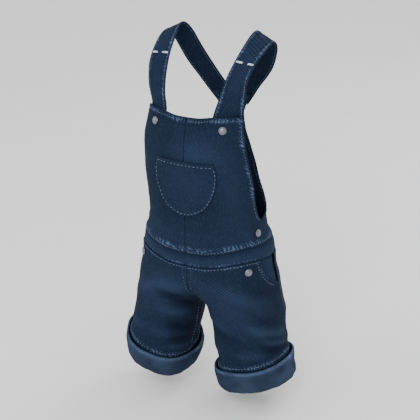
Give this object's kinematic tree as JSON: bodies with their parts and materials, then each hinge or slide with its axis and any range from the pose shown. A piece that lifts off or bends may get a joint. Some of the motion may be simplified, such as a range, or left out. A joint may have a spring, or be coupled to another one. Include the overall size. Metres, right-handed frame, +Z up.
{
  "type": "denim shortalls",
  "caption": "Bib-front denim shorts held up by shoulder straps, worn form with no wearer: open neck, armholes and legs, chest pocket, waistband and turned-up cuffs.",
  "frame": {"origin": "midway between the tops of the two shoulder straps, where the shoulders carry the garment", "axes": "+X to the wearer's left, -Y out of the front of the bib, +Z up along the body"},
  "size_m": [0.4195, 0.2428, 0.8316],
  "materials": {
    "denim": "dark indigo twill, worn pale along the seams",
    "denim_facing": "dark indigo twill, unworn",
    "denim_reverse": "paler reverse side of the twill",
    "rivet_steel": "satin nickel-coloured steel"
  },
  "bodies": {
    "root": {"bib_front_left": "denim", "bib_front_right": "denim", "back_panel": "denim", "chest_pocket": "denim", "waistband": "denim", "shorts_front_left": "denim", "shorts_front_right": "denim", "shorts_back_left": "denim", "shorts_back_right": "denim", "pocket_facing_left": "denim_facing", "pocket_facing_right": "denim_facing", "cuff_left": "denim_reverse", "cuff_right": "denim_reverse", "strap_left": "denim", "strap_right": "denim", "bib_rivet_left": "rivet_steel", "bib_rivet_right": "rivet_steel", "side_rivet_left": "rivet_steel", "side_rivet_right": "rivet_steel", "hip_rivet_left": "rivet_steel", "hip_rivet_right": "rivet_steel"}
  },
  "joints": []
}
